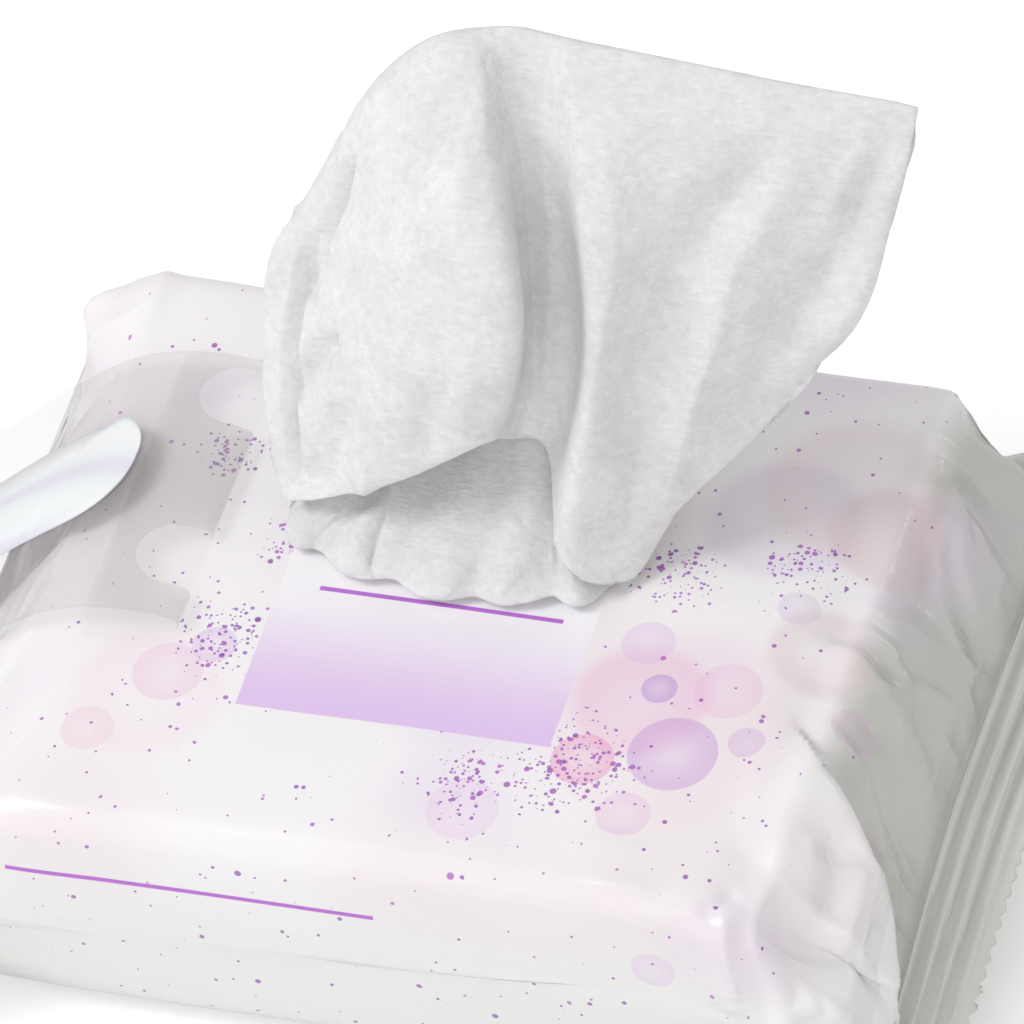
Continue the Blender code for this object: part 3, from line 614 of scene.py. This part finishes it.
def keepOuterFace(item):
    # The rim of the opening is taken away, and then the smaller of the two shells
    data = bmesh.new()
    data.from_mesh(item.data)
    rim = []
    for face in data.faces:
        middle = face.calc_center_median()
        if (abs(face.normal.z) < 0.6 and middle.z > 0.06 and abs(middle.x + 0.0015) < 0.0375
                and abs(middle.y - 0.021) < 0.02):
            rim.append(face)
    bmesh.ops.delete(data, geom=rim, context="FACES")
    start = max(data.verts, key=lambda v: v.co.x)
    kept, front = {start}, [start]
    while front:
        here = front.pop()
        for edge in here.link_edges:
            other = edge.other_vert(here)
            if other not in kept:
                kept.add(other)
                front.append(other)
    bmesh.ops.delete(data, geom=[v for v in data.verts if v not in kept], context="VERTS")
    data.to_mesh(item.data)
    data.free()


def smoothBy(item, weight, turns):
    # Smooths the mesh by a share from 0 to 1 given for each of its points
    group = item.vertex_groups.new(name="smoothShare")
    for index in np.flatnonzero(weight > 0.02):
        group.add([int(index)], float(weight[index]), "REPLACE")
    applyModifier(item, "SMOOTH", factor=0.5, iterations=turns, vertex_group="smoothShare")
    item.vertex_groups.clear()


def refineWhere(item, wanted):
    # One more cut through the faces whose middle, in millimetres, is wanted
    onlyActive(item)
    bpy.ops.object.mode_set(mode="EDIT")
    bpy.ops.mesh.select_mode(type="FACE")
    bpy.ops.mesh.select_all(action="DESELECT")
    bpy.ops.object.mode_set(mode="OBJECT")
    for face in item.data.polygons:
        face.select = wanted(*(face.center * 1000))
    bpy.ops.object.mode_set(mode="EDIT")
    bpy.ops.mesh.subdivide(number_cuts=1)
    bpy.ops.object.mode_set(mode="OBJECT")


def finCrimps(x, y):
    # Lengthwise ridges pressed into both fins, the same on the upper and lower face
    droop = np.radians(np.where(x > 0, 24 + 25 * ramp(-y, 0, 95), 66))
    out = (np.abs(x) - filmSet["finLine"]) / np.cos(droop)
    inside = ramp(out, 0.2, 1.0) * (1 - ramp(out, filmSet["finLength"] - 2.4, filmSet["finLength"] - 1.2))
    wave = np.sin(2 * np.pi * out * filmSet["crimps"] / filmSet["finLength"])
    height = filmSet["crimpDepth"] * wave * inside
    return np.stack((np.sign(x) * np.sin(droop) * height, 0 * x, np.cos(droop) * height), axis=1)


def makeFilm():
    item = mergedCopy("film_wrap", "film_skin")
    keepOuterFace(item)
    quadsAndCreases(item, 75, 0.088)
    subdivide(item, filmSet["levels"])
    places, normals = meshPoints(item)
    smoothBy(item, 1 - ramp(np.abs(places[:, 0]), 82, 90), 6)
    refineWhere(item, lambda x, y, z: z > 20 and (84 < x < 113 or (x > 44 and y < -52 and x < 113)))
    places, normals = meshPoints(item)
    smoothBy(item, 0.8 * ramp(places[:, 0], 44, 50) * (1 - ramp(places[:, 0], 106, 112)), 3)
    places, normals = meshPoints(item)
    x, y, z = places.T
    offBase = ramp(z, 3, 12)
    awayFromHole = np.maximum(np.abs(x + 1.5) - 36, np.abs(y - 21) - 18)
    offRim = np.where(z > 55, ramp(awayFromHole, 6, 16), 1.0)
    offLabel = np.where(z > 50, 1 - ramp(-x, 48, 54) * (1 - ramp(np.abs(y - 14), 44, 52)), 1.0)
    free = offBase * offRim * offLabel
    swell = noiseField(places, filmSet["swellSize"], 1) + 0.4 * noiseField(places,
                                                                           filmSet["swellSize"] / 2.3, 2)
    lift = filmSet["swell"] * swell * free
    # Folds that run down the closed ends, from the stack's edge to the fin
    onEnd = ramp(np.abs(x), 84, 98) * (1 - ramp(np.abs(x), 107, 112)) * offBase
    bend = noiseField(places, 40, 3)
    across = places.copy()
    across[:, 1] += bend * 9
    ridges = 1 - 2 * np.abs(noiseField(across, filmSet["endFoldSize"], 4, (0.25, 1, 0.25)))
    lift += filmSet["endFolds"] * (ridges - 0.4) * onEnd * offLabel
    for crease in filmSet["creases"]:
        lift += creaseHeights(places, normals, crease) * offBase
    underLabel = (x < -60) & (np.abs(y - 14) < 50) & (z > 20)
    lift = np.where(underLabel, np.minimum(lift, 0.0), lift)
    easing = creaseHeights(places, normals, filmSet["easing"])
    places = pulled(places + normals * lift[:, None] + finCrimps(x, y), filmSet["pulls"])
    movePoints(item, places)
    smoothBy(item, easing, 7)
    applyModifier(item, "SOLIDIFY", thickness=filmSet["wall"], offset=-1.0)
    dress(item, materials["film"], 50)
    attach(item, "root")
    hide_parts("film_wrap")
    return item


filmSkin = makeFilm()
print("film made", len(filmSkin.data.polygons))


# Label and the film piece on it: past the pack's end both sag behind their middle, in mm
labelSet = {"sag": 4.0, "sagAcross": (12, 36, 53), "sagAlong": (-92, -82), "narrowing": 0.15,
            "narrowFrom": 19.5}


def sagged(places):
    x, y, z = places.T
    start, lowest, end = labelSet["sagAcross"]
    share = ramp(y, start, lowest) * (1 - ramp(y, lowest, end)) * (1 - ramp(x, *labelSet["sagAlong"]))
    moved = places.copy()
    moved[:, 2] -= labelSet["sag"] * share
    return moved


def makeLabel():
    item = mergedCopy("reseal_label", "label_skin")
    quadsAndCreases(item, 60)
    subdivide(item, 2)
    movePoints(item, sagged(meshPoints(item)[0]))
    dress(item, materials["label"], 50)
    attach(item, "root")
    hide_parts("reseal_label")


def makeFlap():
    item = mergedCopy("cut_out_flap", "cut_film_oval")
    quadsAndCreases(item, 60)
    subdivide(item, 2)
    places = meshPoints(item)[0]
    places[:, 1] -= labelSet["narrowing"] * np.maximum(places[:, 1] - labelSet["narrowFrom"], 0)
    movePoints(item, sagged(places))
    dress(item, materials["flap"], 50)
    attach(item, "root")
    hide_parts("cut_out_flap")


makeLabel()
makeFlap()
print("label and cut film made")


clothSet = {
    "flat": (0.178, 0.264), "levels": 2, "softening": 10, "tuft": 0.05, "tuftSize": 2.2, "soft": 0.3,
    "softSize": 16.0, "backFolds": 5.0,
    # the crest is smoothed most round these places: middle and reach in mm
    "softSpots": [((9, 52, 183), 30), ((13, 50, 168), 18), ((12, 46, 154), 22), ((11, 38, 128), 22),
                  ((9, 30, 104), 17),
                   ((0, -2, 71), 14), ((24, -1, 71), 14), ((-22, 2, 71), 14)],
    # the sheet is drawn in these places: middle, reach along each axis and move, in mm
    "pulls": [
        ((2, 1, 71), (46, 14, 12), (0, -7, -0.8)), ((-28, 5, 74), (17, 15, 14), (-6, -4, -1)),
        ((36, 4, 74), (15, 14, 12), (2, -4, -1)), ((37, 11, 80), (15, 13, 15), (1, -1, -7)),
        ((-33, 14, 73), (12, 13, 10), (-5, 0, 0)), ((-1, -6, 70), (10, 8, 8), (0, 2.2, 0)),
        ((29, 2, 70), (12, 9, 8), (1, -3.2, -0.5)), ((22, 3, 70), (7, 7, 7), (0, -2, 0)),
        ((-12, -1, 70), (8, 7, 7), (0, -1.8, 0))],
    "creases": [
        {"path": [(17, 52, 169), (19, 49, 159), (20, 44, 142), (19, 38, 123), (16, 31, 104),
                  (15, 25, 91)],
         "rise": 2.5, "left": 9, "right": 14},
        {"path": [(73, 50, 169), (63, 45, 159), (53, 38, 146), (45, 31, 133), (40, 23, 117),
                  (37, 18, 103)],
         "rise": -3.2, "left": 12, "right": 11},
        {"path": [(77, 49, 164), (69, 44, 154), (62, 38, 141), (57, 33, 123), (52, 27, 109), (48, 22, 95),
                  (45, 17, 83)], "rise": 2.6, "left": 8, "right": 7},
        {"path": [(93, 54, 174), (89, 51, 165), (85, 48, 157), (82, 45, 148)], "rise": 1.3, "left": 4,
         "right": 4},
        {"path": [(96, 53, 169), (90, 50, 159), (85, 46, 146), (79, 42, 134), (73, 38, 124),
                  (66, 34, 114)],
         "rise": -2.0, "left": 7, "right": 7},
        {"path": [(34, 46, 172), (37, 39, 161), (38, 32, 146), (36, 24, 131), (32, 18, 115),
                  (31, 12, 99)],
         "rise": 1.2, "left": 9, "right": 9},
        {"path": [(70, 41, 142), (66, 37, 133), (63, 34, 120), (58, 30, 107)], "rise": 1.4, "left": 5,
         "right": 5},
        {"path": [(43, 23, 111), (41, 19, 100), (39, 14, 88)], "rise": -1.8, "left": 6, "right": 6},
        {"path": [(9, 48, 182), (3, 41, 176), (-2, 36, 169), (-7, 32, 161)], "rise": -2.4, "left": 12,
         "right": 12},
        {"path": [(6, 40, 176), (5, 30, 168), (4, 24, 158)], "rise": 1.2, "left": 7, "right": 7},
        {"path": [(-26, 46, 154), (-29, 43, 143), (-34, 41, 131), (-37, 33, 118)],
         "rise": -5.4, "left": 4, "right": 4},
        {"path": [(-38, 42, 130), (-39, 34, 116), (-40, 28, 106), (-39, 18, 94), (-36, 11, 83)],
         "rise": -4.6, "left": 3, "right": 3},
        {"path": [(-26, 24, 117), (-33, 25, 111), (-37, 23, 105), (-38, 20, 99)],
         "rise": -4.6, "left": 5, "right": 4},
        {"path": [(-25, 17, 110), (-31, 14, 97), (-35, 12, 86)], "rise": 1.8, "left": 5, "right": 6},
        {"path": [(-22, 15, 108), (-26, 11, 95), (-29, 8, 86)], "rise": -1.2, "left": 5, "right": 5},
        {"path": [(1, 12, 125), (-3, 10, 110), (-5, 9, 99)], "rise": -1.6, "left": 6, "right": 6},
        {"path": [(8, 12, 127), (6, 11, 118), (6, 10, 109)], "rise": 1.2, "left": 5, "right": 5},
        {"path": [(-19, 8, 93), (-21, 8, 80), (-19, 0, 71)], "rise": 1.5, "left": 5, "right": 4},
        {"path": [(13, 12, 79), (5, 7, 75), (-2, -3, 71)], "rise": 1.6, "left": 5, "right": 6},
        {"path": [(24, 6, 80), (17, 4, 75), (9, -3, 71)], "rise": -1.5, "left": 5, "right": 5},
        {"path": [(25, 8, 80), (15.5, 3, 76), (5, -3, 70)], "rise": 1.8, "left": 5, "right": 5},
        {"path": [(35, 6, 77), (28, 3, 74), (19, -2, 69)], "rise": 2.0, "left": 5, "right": 5},
        {"path": [(-18, 9, 84), (-16, 3, 76), (-14.5, -3, 69)], "rise": -2.2, "left": 7, "right": 3}],
}
# Direction from the pack to the camera, in which the visible folds of the cloth are raised
viewWay = np.array((0.286, -0.612, 0.737))


def nearSpots(places, spots):
    weight = np.zeros(len(places))
    for middle, reach in spots:
        weight = np.maximum(weight, 1 - ramp(np.linalg.norm(places - np.array(middle), axis=1), 0, reach))
    return weight


def backFolds(places, normals):
    # Folds on the unseen side, fanning out from where the opening gathers the cloth
    x, y, z = places.T
    behind = ramp(y - 20 - (z - 88) * 0.4, 2, 9) * ramp(z, 84, 110) * (1 - ramp(z, 165, 182))
    fan = np.arctan2(x - 4, z - 52)
    seeds = np.stack((fan * 60, z * 0.25, y * 0), axis=1)
    way = np.clip((normals @ np.array((0, 0.9, -0.45))) * 3, -1, 1)
    return (clothSet["backFolds"] * noiseField(seeds, 9, 8) * behind * way)[:, None] * normals


def makeDrapedCloth():
    item = mergedCopy("pulled_cloth", "draped_cloth")
    quadsAndCreases(item, 80)
    subdivide(item, clothSet["levels"])
    applyModifier(item, "SMOOTH", factor=0.5, iterations=clothSet["softening"])
    smoothBy(item, nearSpots(meshPoints(item)[0], clothSet["softSpots"]), 40)
    refineWhere(item, lambda x, y, z: (x < -12 and 76 < z < 172) or (66 < z < 86 and y < 14))
    places, normals = meshPoints(item)
    facing = np.clip((normals @ viewWay) * 3, -1, 1)
    lift = np.zeros(len(places))
    for crease in clothSet["creases"]:
        lift += creaseHeights(places, normals * np.sign(facing)[:, None], crease)
    lift += clothSet["soft"] * noiseField(places, clothSet["softSize"], 5)
    above = ramp(places[:, 2], 69, 76)
    places = places + normals * (facing * lift * above)[:, None] + backFolds(places, normals)
    lift = clothSet["tuft"] * noiseField(places, clothSet["tuftSize"], 6) * above
    places = pulled(places + normals * lift[:, None], clothSet["pulls"])
    movePoints(item, places)
    dress(item, materials["cloth"], 70)
    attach(item, "root")
    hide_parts("pulled_cloth")


makeDrapedCloth()


stackSet = {"flat": (0.178, 0.264), "edge": 0.0003, "cuts": 3}


def makeFoldedCloths():
    # Each folded cloth keeps its place in the stack; its edges are softened
    for name in sorted((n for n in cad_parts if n.startswith("folded_cloth")), reverse=True):
        item = mergedCopy(name, name.replace("folded_cloth", "stacked_cloth"))
        applyModifier(item, "BEVEL", width=stackSet["edge"], segments=2, limit_method="ANGLE")
        onlyActive(item)
        bpy.ops.object.mode_set(mode="EDIT")
        bpy.ops.mesh.select_all(action="SELECT")
        bpy.ops.mesh.subdivide(number_cuts=stackSet["cuts"])
        bpy.ops.object.mode_set(mode="OBJECT")
        dress(item, materials["cloth"], 60)
        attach(item, "root")
        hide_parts(name)


makeFoldedCloths()
print("folded cloths made")
